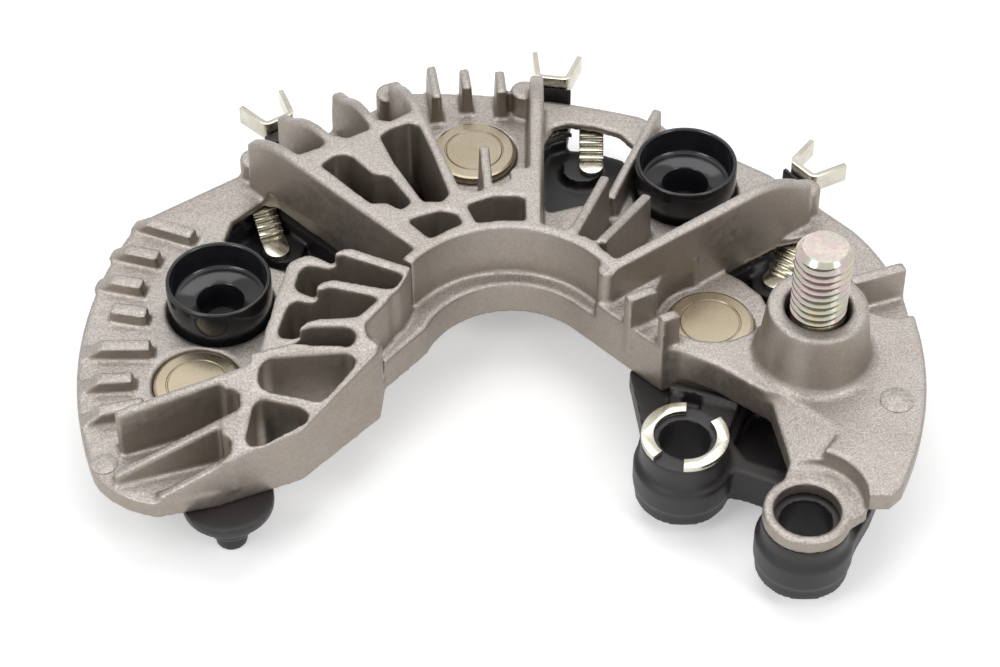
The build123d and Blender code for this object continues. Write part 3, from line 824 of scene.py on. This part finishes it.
@dataclass
class HeatSinkCasting:
    """The aluminium heat sink with its lattice and fan, and the rounded edges of a die casting."""

    voxel: float = 0.33
    fineness: float = 0.9
    fine_triangles: int = 900000
    smoothing: int = 3
    triangles: int = 192000
    plate_low: float = -3.0
    plate_edge: float = -1.3
    wall: float = 12.0
    above: float = 20.0
    beyond: float = 1.0
    window_top: float = 2.0
    stepped: float = 9.7
    relief: float = 2.2
    slope_corner: Point = (-17.0, -14.0, 11.0)
    slope_rise: Place = (0.034, 0.293)
    slope_room: Outline = ((-70.0, -60.0), (0.0, -60.0), (0.0, 25.0), (-70.0, 25.0))
    slope_above: float = 40.0
    apron: tuple[Point, ...] = (
        (40.2, -17.4, 5.7), (46.5, -23.4, 5.7), (40.7, -29.4, 4.6), (33.0, -22.6, 1.6), (36.4, -31.0, 0.8),
        (36.0, -16.0, 3.2))
    apron_above: float = 9.0
    rim_rib: tuple[Place, Place] = ((-51.4, 2.3), (-56.8, 3.4))
    rim_rib_size: float = 2.2
    boss: Place = (-18.2, -12.4)
    boss_radius: float = 1.5
    boss_top: float = 10.9
    boss_foot: float = -0.5
    marks: tuple[tuple[Place, float, float], ...] = (
        ((-55.2, -25.1), 1.9, 0.0), ((55.5, -18.2), 2.4, 5.7), ((3.7, 33.0), 2.0, 0.0))
    mark_sunk: float = 0.3
    mark_proud: float = 0.12
    mark_easing: float = 0.07

    def slope(self, x: float, y: float) -> float:
        """Return the level of the lattice's falling top at a plan point."""
        corner_x, corner_y, level = self.slope_corner
        return level + self.slope_rise[0] * (x - corner_x) + self.slope_rise[1] * (y - corner_y)

    def lattice(self, shop: Workshop) -> Shape:
        """Return the lattice block of the left arm, its top stepped and falling away to the front.

        Args:
            shop: Workshop that makes the shapes and enters the pieces.

        Returns:
            The block.
        """
        block = shop.solid((PLAN.lattice,), self.plate_low, self.wall)
        block = shop.without(block, PLAN.pockets, 0.0, self.above)
        block = shop.without(block, PLAN.through, self.plate_low - self.beyond, self.above)
        block = shop.without(block, (PLAN.step,), self.stepped, self.above)
        wedge = bmesh.new()
        shop.hull(wedge, [(x, y, self.slope(x, y)) for x, y in self.slope_room]
                  + [(x, y, self.slope_above) for x, y in self.slope_room])
        return shop.cut(block, wedge)

    def fan(self, shop: Workshop) -> Shape:
        """Return the fins of the fan, the sloping ribs, a squared rim rib and a round boss.

        Args:
            shop: Workshop that makes the shapes and enters the pieces.

        Returns:
            The fins, ribs and boss.
        """
        shape = bmesh.new()
        for start, end, heights in PLAN.fan:
            shop.rib(shape, start, end, heights)
        size = self.rim_rib_size
        shop.rib(shape, *self.rim_rib, (size, size), size)
        shop.prism(shape, circle(self.boss, self.boss_radius), self.boss_foot, self.boss_top)
        return shape

    def marked(self, shop: Workshop) -> None:
        """Enter the faint discs that the ejectors left, as a piece of their own.

        Args:
            shop: Workshop that makes the shapes and enters the pieces.
        """
        marks = bmesh.new()
        for place, radius, level in self.marks:
            shop.prism(marks, circle(place, radius), level - self.mark_sunk, level + self.mark_proud)
        mesh = shop.eased(marks, "ejector_marks", self.mark_easing, 40.0)
        shop.enter(mesh, "ejector_marks", Slot.CASTING)

    def build(self, shop: Workshop) -> bpy.types.Object:
        """Replace the node by a copy with its lattice and fan worked out, then remeshed and smoothed.

        Args:
            shop: Workshop that makes the shapes and enters the pieces.

        Returns:
            The casting.
        """
        shape = shop.merged("heat_sink")
        shape = shop.without(shape, (PLAN.lattice_room, PLAN.fan_room), 0.0, self.above)
        shape = shop.without(shape, PLAN.through, self.plate_low - self.beyond, self.above)
        facet = bmesh.new()
        shop.hull(facet, [point for x, y, level in self.apron
                          for point in ((x, y, level), (x, y, self.apron_above))])
        shape = shop.cut(shape, facet)
        shop.join(shape, self.lattice(shop))
        shop.join(shape, shop.solid((PLAN.old_window,), self.plate_low, 0.0))
        shop.join(shape, self.fan(shop))
        mesh = shop.skin(shape, "heat_sink_rough", self.voxel * self.fineness, 0, self.fine_triangles)
        below = self.plate_low - self.beyond
        whole = shop.without(shaped(mesh), PLAN.windows, below, self.window_top)
        reliefs = tuple(grown(window, self.relief) for window in PLAN.windows)
        whole = shop.without(whole, reliefs, below, self.plate_edge)
        mesh = shop.skin(whole, "heat_sink_casting", self.voxel, self.smoothing, self.triangles)
        self.marked(shop)
        return shop.enter(mesh, "heat_sink_casting", Slot.CASTING, "heat_sink", sharp=60.0)


@dataclass
class PressFitDiodes:
    """Press-fit diodes, of which the flat base of each cup shows."""

    places: dict[Side, tuple[Place, float]] = field(default_factory=lambda: {
        Side.LEFT: ((-43.4, -9.5), -0.3), Side.REAR: ((-4.0, 38.2), 1.0),
        Side.RIGHT: (PLAN.right_diode, 1.0)})
    radius: float = 6.5
    length: float = 7.0
    base: float = 2.2
    wall: float = 0.9
    ring_radius: float = 4.5
    ring_depth: float = 0.12

    def outline(self, top: float) -> list[Place]:
        """Return the cup's outline: base with its pressed ring, rounded edge, wall and rim.

        Args:
            top: Level of the base's face in millimetres.

        Returns:
            Radii and levels of the cup.
        """
        low, inner, ring = top - self.length, self.radius - self.wall, self.ring_radius
        return [(0.0, top), (ring - 0.30, top), (ring - 0.12, top - self.ring_depth),
                (ring, top - self.ring_depth), (ring + 0.10, top), (self.radius - 0.55, top - 0.03),
                (self.radius - 0.2, top - 0.16), (self.radius - 0.05, top - 0.38),
                (self.radius, top - 0.62), (self.radius, low + 0.15), (self.radius - 0.15, low),
                (inner + 0.12, low), (inner, low + 0.12), (inner, top - self.base), (0.0, top - self.base)]

    def build(self, shop: Workshop) -> None:
        """Make the three cups and dress what they hold.

        Args:
            shop: Workshop that makes the shapes and enters the pieces.
        """
        for side, (place, top) in self.places.items():
            shape = shop.turned(self.outline(top), FRAME.point(*place, 0.0))
            name = "diode_cup_turned_" + side.value
            mesh = meshed(shape, name)
            shop.enter(mesh, name, Slot.DIODE_CUP, "diode_cup_" + side.value, sharp=18.0)
            for part, slot in (("die", Slot.DIE), ("lead", Slot.LEAD), ("potting", Slot.RESIN)):
                finishes_of_node = shop.nodes["diode_" + part + "_" + side.value].data.materials
                finishes_of_node.clear()
                finishes_of_node.append(shop.materials[slot])


@dataclass
class InsulatingBushes:
    """Two glossy cups that keep the fixing screws off the live casting."""

    places: dict[str, Place] = field(default_factory=lambda: {"left": (-41.0, 5.4), "rear": (28.3, 30.4)})
    radius: float = 7.7
    wall: float = 0.7
    top: float = 6.0
    floor: float = 1.4
    seat: float = -1.2
    neck: float = 5.6
    bore: float = 3.4
    low: float = -9.7

    def outline(self) -> list[Place]:
        """Return the closed outline of a cup with its neck, with rounded lips.

        Returns:
            Radii and levels of the cup.
        """
        inner = self.radius - self.wall
        return [(self.bore, self.low + 0.3), (self.bore + 0.3, self.low), (self.neck - 0.3, self.low),
                (self.neck, self.low + 0.3), (self.neck, self.seat), (self.radius - 0.3, self.seat),
                (self.radius, self.seat + 0.3), (self.radius, self.top - 0.35),
                (self.radius - 0.1, self.top - 0.1), (self.radius - 0.32, self.top),
                (inner + 0.18, self.top - 0.05), (inner, self.top - 0.3), (inner, self.floor + 0.6),
                (inner - 0.2, self.floor + 0.2), (inner - 0.6, self.floor + 0.02),
                (self.bore + 0.2, self.floor), (self.bore, self.floor - 0.2), (self.bore, self.low + 0.3)]

    def build(self, shop: Workshop) -> None:
        """Make both cups.

        Args:
            shop: Workshop that makes the shapes and enters the pieces.
        """
        for key, place in self.places.items():
            name = "bush_turned_" + key
            shape = shop.turned(self.outline(), FRAME.point(*place, 0.0), 128)
            shop.enter(meshed(shape, name), name, Slot.BUSH, "bush_" + key, sharp=50.0)


@dataclass
class OutputStud:
    """The M8 output stud with its rolled thread, its knurled root made as a plain collar, and a pressed-in
    head.
    """

    place: Place = PLAN.stud
    radius: float = 4.0
    pitch: float = 1.25
    depth: float = 0.72
    top: float = 27.0
    thread_low: float = 13.6
    chamfer: float = 1.0
    root_radius: float = 4.6
    root_top: float = 3.0
    head_radius: float = 6.5
    head_low: float = -5.5
    plate_low: float = -3.0
    steps: int = 72

    def thread(self, shop: Workshop) -> Mesh:
        """Return the threaded shank: a row of flanks turned once over one pitch, cut flat at both ends.

        Args:
            shop: Workshop that makes the shapes and enters the pieces; not used here.

        Returns:
            The mesh of the thread.
        """
        shape = bmesh.new()
        centre = FRAME.point(*self.place, 0.0)
        count = int((self.top - self.thread_low) / self.pitch) + 3
        flank = [(0.0, -self.depth), (0.10, -self.depth), (0.42, -0.05), (0.5, 0.0), (0.60, 0.0),
                 (0.68, -0.05)]
        start = self.thread_low - self.pitch
        outline = []
        for turn in range(count):
            outline += [(self.radius + offset, start + (turn + along) * self.pitch)
                        for along, offset in flank]
        outline.append((self.radius - self.depth, start + count * self.pitch))
        verts = [shape.verts.new(centre + Vector((radius, 0.0, height)) * MM) for radius, height in outline]
        edges = [shape.edges.new(pair) for pair in zip(verts, verts[1:])]
        bmesh.ops.spin(shape, geom=verts + edges, cent=centre, axis=(0.0, 0.0, 1.0), angle=2 * pi,
                       dvec=(0.0, 0.0, self.pitch * MM / self.steps), steps=self.steps, use_merge=False)
        bmesh.ops.remove_doubles(shape, verts=shape.verts, dist=0.00001)
        self.point_end(shape, centre)
        for height, outward in ((self.top, 1.0), (self.thread_low, -1.0)):
            cut = bmesh.ops.bisect_plane(shape, geom=shape.verts[:] + shape.edges[:] + shape.faces[:],
                                         plane_co=centre + Vector((0.0, 0.0, height)) * MM,
                                         plane_no=(0.0, 0.0, outward), clear_outer=True)
            rim = [item for item in cut["geom_cut"] if isinstance(item, bmesh.types.BMEdge)]
            bmesh.ops.edgenet_fill(shape, edges=rim)
        bmesh.ops.recalc_face_normals(shape, faces=shape.faces)
        return meshed(shape, "output_stud_thread")

    def point_end(self, shape: Shape, centre: Vector) -> None:
        """Run the thread out at both ends, into the pointed tip and the plain shank.

        Args:
            shape: Thread to run out.
            centre: Place of the axis in metres.
        """
        for vert in shape.verts:
            offset = vert.co - centre
            height = offset.z / MM
            reach = Vector((offset.x, offset.y)).length / MM
            limit = self.radius - max(0.0, height - (self.top - self.chamfer)) * 0.85
            floor = self.radius - self.depth + max(0.0, self.thread_low + 1.4 - height) * 0.5
            wanted = max(min(reach, limit), min(floor, limit, self.radius - 0.2))
            vert.co.x = centre.x + offset.x * wanted / reach
            vert.co.y = centre.y + offset.y * wanted / reach

    def build(self, shop: Workshop) -> bpy.types.Object:
        """Make the stud and let it stand for its node.

        Args:
            shop: Workshop that makes the shapes and enters the pieces.

        Returns:
            The stud.
        """
        centre = FRAME.point(*self.place, 0.0)
        neck = self.radius - 0.25
        outline = [(0.0, self.head_low), (self.head_radius - 0.4, self.head_low),
                   (self.head_radius, self.head_low + 0.4), (self.head_radius, self.plate_low - 0.2),
                   (self.head_radius - 0.2, self.plate_low), (self.root_radius, self.plate_low),
                   (self.root_radius, self.root_top - 0.3), (self.root_radius - 0.3, self.root_top),
                   (neck, self.root_top), (neck, self.thread_low + 0.1), (0.0, self.thread_low + 0.1)]
        shape = shop.turned(outline, centre, self.steps)
        threaded = self.thread(shop)
        shape.from_mesh(threaded)
        bpy.data.meshes.remove(threaded)
        mesh = meshed(shape, "output_stud")
        return shop.enter(mesh, "output_stud", Slot.STUD, "b_plus_stud", sharp=30.0)


@dataclass
class TerminalCarrier:
    """The matte black moulding with its stepped bosses, contact block, wells, posts and peg."""

    voxel: float = 0.36
    smoothing: int = 2
    triangles: int = 150000
    top: float = -3.0
    low: float = -6.6
    floor: float = -7.6
    foot: float = -9.7
    room: Place = (-14.0, 3.0)
    bay_depth: float = 3.0
    stud_pocket: Place = (6.8, -5.8)
    diode_room: float = 9.4
    bore: float = 3.6
    bore_room: float = 3.7
    bore_cut: Place = (-12.0, 4.0)
    block_top: float = -1.2
    block_bore: float = 5.0
    groove_floor: float = -4.2
    bar_top: float = -0.4
    arm_low: float = -9.0
    seam: float = -7.2
    step: Place = (-3.4, -2.4)
    contact_radii: Point = (6.75, 7.1, 6.2)
    contact_top: float = 1.3
    lug_radii: Point = (6.55, 6.9, 6.15)
    lug_top: float = -0.12
    well_margin: float = 0.6
    post_radius: float = 3.2
    post_top: float = -4.9
    hook_reach: float = 60.7
    hook_block_width: float = 6.4
    hook_block_top: float = 1.6
    peg: Outline = (
        (0.0, -12.5), (1.9, -12.5), (2.3, -12.1), (2.3, -9.6), (3.5, -8.9), (3.6, -5.9), (6.0, -5.0),
        (6.5, -4.5), (6.5, -3.02), (0.0, -3.02), (0.0, -12.5))

    def boss(self, shop: Workshop, place: Place, radii: Point, top: float) -> Shape:
        """Return a bored boss with its seam and step.

        Args:
            shop: Workshop that makes the shapes and enters the pieces.
            place: Plan point in the middle.
            radii: Radii below the seam, above it and at the top.
            top: Level of the top in millimetres.

        Returns:
            The boss.
        """
        lower, middle, upper = radii
        outline = [(self.bore, self.foot), (lower, self.foot), (lower, self.seam), (middle, self.seam),
                   (middle, self.step[0]), (upper, self.step[1]), (upper, top), (self.bore, top),
                   (self.bore, self.foot)]
        return shop.turned(outline, FRAME.point(*place, 0.0), 96)

    def front(self, shop: Workshop) -> Shape:
        """Return the front of the right arm: plate with its bay, arm, contact block and both bosses.

        Args:
            shop: Workshop that makes the shapes and enters the pieces.

        Returns:
            The front.
        """
        below, above = self.low - 1.0, self.top + 1.0
        plate = shop.solid((PLAN.front,), self.low, self.top)
        plate = shop.without(plate, (PLAN.bay,), self.top - self.bay_depth, above)
        plate = shop.without(plate, (circle(PLAN.stud, self.stud_pocket[0]),), self.stud_pocket[1], above)
        plate = shop.without(plate, (circle(PLAN.right_diode, self.diode_room),), below, above)
        bores = (circle(PLAN.lug, self.bore), circle(PLAN.contact, self.bore))
        plate = shop.without(plate, bores, below, above)
        block = shop.solid((PLAN.block,), self.low, self.block_top)
        block = shop.without(block, (PLAN.groove,), self.groove_floor, 0.0)
        block = shop.without(block, (circle(PLAN.contact, self.block_bore),), below, 2.0)
        shop.join(plate, block)
        more = bmesh.new()
        shop.prism(more, PLAN.bar, self.low, self.bar_top)
        shop.prism(more, PLAN.arm, self.arm_low, self.top)
        bores = (circle(PLAN.lug, self.bore_room), circle(PLAN.contact, self.bore_room))
        shop.join(plate, shop.without(more, bores, *self.bore_cut))
        shop.join(plate, self.boss(shop, PLAN.contact, self.contact_radii, self.contact_top))
        shop.join(plate, self.boss(shop, PLAN.lug, self.lug_radii, self.lug_top))
        return plate

    def wells_and_blocks(self, shop: Workshop, wells: tuple[Outline, ...]) -> Shape:
        """Return the well floors with their posts, and the blocks behind the hooks.

        Args:
            shop: Workshop that makes the shapes and enters the pieces.
            wells: Outlines of the cleared wells.

        Returns:
            The floors, posts and blocks.
        """
        shape = bmesh.new()
        for well, post in zip(wells, PLAN.posts):
            shop.prism(shape, grown(well, self.well_margin), self.floor, self.low)
            shop.prism(shape, circle(post, self.post_radius), self.floor, self.post_top)
        for angle, start in PLAN.hooks:
            turn = radians(angle)
            ends = [(PLAN.hub[0] + reach * cos(turn), PLAN.hub[1] + reach * sin(turn))
                    for reach in (start, self.hook_reach)]
            shop.prism(shape, band(*ends, self.hook_block_width), self.top - 0.5, self.hook_block_top)
        return shape

    def build(self, shop: Workshop) -> bpy.types.Object:
        """Replace the node by a copy with its front, wells and peg worked out, and softened edges.

        Args:
            shop: Workshop that makes the shapes and enters the pieces.

        Returns:
            The moulding.
        """
        shape = shop.merged("terminal_carrier")
        shape = shop.without(shape, (PLAN.front_room,), *self.room)
        shape = shop.without(shape, (PLAN.peg_room,), *self.room)
        wells = tuple(grown(window, self.well_margin) for window in PLAN.windows)
        shape = shop.without(shape, wells, self.low, 1.0)
        shop.join(shape, self.wells_and_blocks(shop, wells))
        shop.join(shape, self.front(shop))
        shop.join(shape, shop.turned(list(self.peg), FRAME.point(*PLAN.peg, 0.0)))
        mesh = shop.skin(shape, "terminal_carrier_moulding", self.voxel, self.smoothing, self.triangles)
        return shop.enter(mesh, "terminal_carrier_moulding", Slot.CARRIER, "terminal_carrier", sharp=45.0)


@dataclass
class PhaseTerminals:
    """Bright strips: a hook outside the rim and a stepped strap in the window, and the split contact ring."""

    edge: float = 0.12
    strap_edge: float = 0.1
    ring_edge: float = 0.14
    cleared: float = 1.6
    cleared_levels: Place = (-6.0, -0.5)
    width: float = 3.8
    crest: float = -1.7
    thickness: float = 0.8
    flat: float = 2.4
    tread: float = 1.1
    least: float = 0.6
    drop: float = 0.6
    steps: int = 4
    ring_radii: Place = (6.2, 4.4)
    ring_levels: Place = (1.3, 2.2)
    ring_arcs: tuple[Place, ...] = ((85.0, 137.0), (265.0, 130.0))

    def strap(self, shop: Workshop, start: Place, end: Place) -> Shape:
        """Return the treads of a strap, the last with a rounded end.

        Args:
            shop: Workshop that makes the shapes and enters the pieces.
            start: Plan point at the rim.
            end: Plan point of the post.

        Returns:
            The strap.
        """
        shape = bmesh.new()
        along = (Vector(end) - Vector(start)).normalized()
        reach = 0.0
        for step in range(self.steps + 1):
            length = self.flat if step == 0 else self.tread
            if step == self.steps:
                length = max(self.least, (Vector(end) - Vector(start)).length - reach)
            ends = [tuple(Vector(start) + along * way) for way in (reach, reach + length)]
            top = self.crest - self.drop * step
            corners = band(*ends, self.width)
            if step == self.steps:
                turn = degrees(atan2(along.y, along.x))
                corners = corners[:2] + circle(ends[1], self.width / 2, turn - 90.0, 180.0, 16)
            shop.prism(shape, corners, top - self.thickness, top)
            reach += length
        return shape

    def build(self, shop: Workshop) -> None:
        """Cut each terminal's flat strap back, and add its stepped strap and the contact ring.

        Args:
            shop: Workshop that makes the shapes and enters the pieces.
        """
        cleared = tuple(grown(window, self.cleared) for window in PLAN.windows)
        for side, (start, end) in zip(Side, PLAN.straps):
            node = "phase_terminal_" + side.value
            name = "terminal_strip_" + side.value
            rest = shop.without(shop.merged(node), cleared, *self.cleared_levels)
            shop.enter(shop.eased(rest, name, self.edge), name, Slot.STRIP, node)
            name = "terminal_strap_" + side.value
            shop.enter(shop.eased(self.strap(shop, start, end), name, self.strap_edge), name, Slot.STRIP)
        outer, inner = ([circle(PLAN.contact, radius, *arc) for arc in self.ring_arcs]
                        for radius in self.ring_radii)
        halves = tuple(arc + back[::-1] for arc, back in zip(outer, inner))
        ring = shop.solid(halves, *self.ring_levels)
        shop.enter(shop.eased(ring, "contact_ring", self.ring_edge, 40.0), "contact_ring", Slot.STRIP)


@dataclass
class Studio:
    """A pale floor, soft lights and the photograph's camera."""

    camera_distance: float = 407.896
    pitch: float = 46.5
    focal_length: float = 100.8
    floor_size: float = 3.0
    floor_colour: Colour = (0.86, 0.86, 0.86)
    floor_glow: float = 0.32
    ambient: float = 0.55
    target: Vector = field(default_factory=lambda: Vector((0.0, -8.0, 12.0)) * MM)

    def camera(self) -> None:
        """Place the camera as it stood for the photograph."""
        data = bpy.data.cameras.new("photo_camera")
        data.lens = self.focal_length
        data.sensor_width = 36.0
        data.clip_start = 0.01
        camera = placed("photo_camera", data)
        camera.location = FRAME.point(0.0, -self.camera_distance * cos(radians(self.pitch)),
                                      self.camera_distance * sin(radians(self.pitch)))
        camera.rotation_euler = (radians(90.0 - self.pitch), 0.0, 0.0)
        bpy.context.scene.camera = camera

    def lamp(self, name: str, place: Point, size: Place, power: float) -> None:
        """Hang one soft lamp that faces the object.

        Args:
            name: Name of the lamp.
            place: Place in metres.
            size: Width and height in metres.
            power: Power in watts.
        """
        data = bpy.data.lights.new(name, "AREA")
        data.shape = "RECTANGLE"
        data.size, data.size_y = size
        data.energy = power
        lamp = placed(name, data)
        lamp.location = place
        lamp.rotation_euler = (self.target - Vector(place)).to_track_quat("-Z", "Y").to_euler()

    def shown(self, tree: bpy.types.NodeTree) -> Socket:
        """Return 1 for the rays that show the background: camera, gloss and transmission.

        Args:
            tree: Node tree that takes the nodes.

        Returns:
            1 for such a ray, 0 for any other.
        """
        path = tree.nodes.new("ShaderNodeLightPath")
        total = path.outputs["Is Camera Ray"]
        for key in ("Is Glossy Ray", "Is Transmission Ray"):
            sum_node = tree.nodes.new("ShaderNodeMath")
            sum_node.operation = "MAXIMUM"
            tree.links.new(total, sum_node.inputs[0])
            tree.links.new(path.outputs[key], sum_node.inputs[1])
            total = sum_node.outputs["Value"]
        return total

    def world(self) -> None:
        """Light evenly from all round, in front of a white background."""
        world = bpy.data.worlds.new("white_room")
        world.use_nodes = True
        bpy.context.scene.world = world
        tree = world.node_tree
        background = tree.nodes["Background"]
        background.inputs["Color"].default_value = (1.0, 1.0, 1.0, 1.0)
        strength = tree.nodes.new("ShaderNodeMapRange")
        strength.inputs["To Min"].default_value = self.ambient
        strength.inputs["To Max"].default_value = 1.0
        tree.links.new(self.shown(tree), strength.inputs["Value"])
        tree.links.new(strength.outputs["Result"], background.inputs["Strength"])

    def floor(self) -> None:
        """Lay the pale floor at the lowest point of the part."""
        shape = bmesh.new()
        bmesh.ops.create_grid(shape, x_segments=1, y_segments=1, size=self.floor_size / 2)
        mesh = meshed(shape, "floor")
        floor = placed("floor", mesh)
        graph = ShaderGraph("pale_floor")
        diffuse = graph.node("BsdfDiffuse", {"Color": self.floor_colour})
        shown = graph.remap(self.shown(graph.tree), 0.0, 1.0, 0.0, self.floor_glow)
        glow = graph.node("Emission", {"Color": (1.0, 1.0, 1.0), "Strength": shown})
        both = graph.node("AddShader", {0: diffuse.outputs["BSDF"], 1: glow.outputs["Emission"]})
        graph.link(both.outputs["Shader"], graph.output.inputs["Surface"])
        mesh.materials.append(graph.material)

    def build(self) -> None:
        """Set up the whole studio."""
        bpy.context.scene.view_settings.view_transform = "Standard"
        self.world()
        self.floor()
        self.lamp("key_left", (-0.36, -0.34, 0.46), (0.24, 0.34), 1.15)
        self.lamp("key_right", (0.38, -0.30, 0.44), (0.20, 0.34), 0.95)
        self.lamp("top", (0.0, 0.22, 0.58), (0.5, 0.4), 1.3)
        self.camera()


def main() -> None:
    """Load the frame, dress it and set the scene."""
    logging.basicConfig(level=logging.INFO, format="%(name)s: %(message)s")
    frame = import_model()
    shop = Workshop(frame, finishes())
    HeatSinkCasting().build(shop)
    PressFitDiodes().build(shop)
    InsulatingBushes().build(shop)
    OutputStud().build(shop)
    TerminalCarrier().build(shop)
    PhaseTerminals().build(shop)
    Studio().build()


if __name__ == "__main__":
    main()
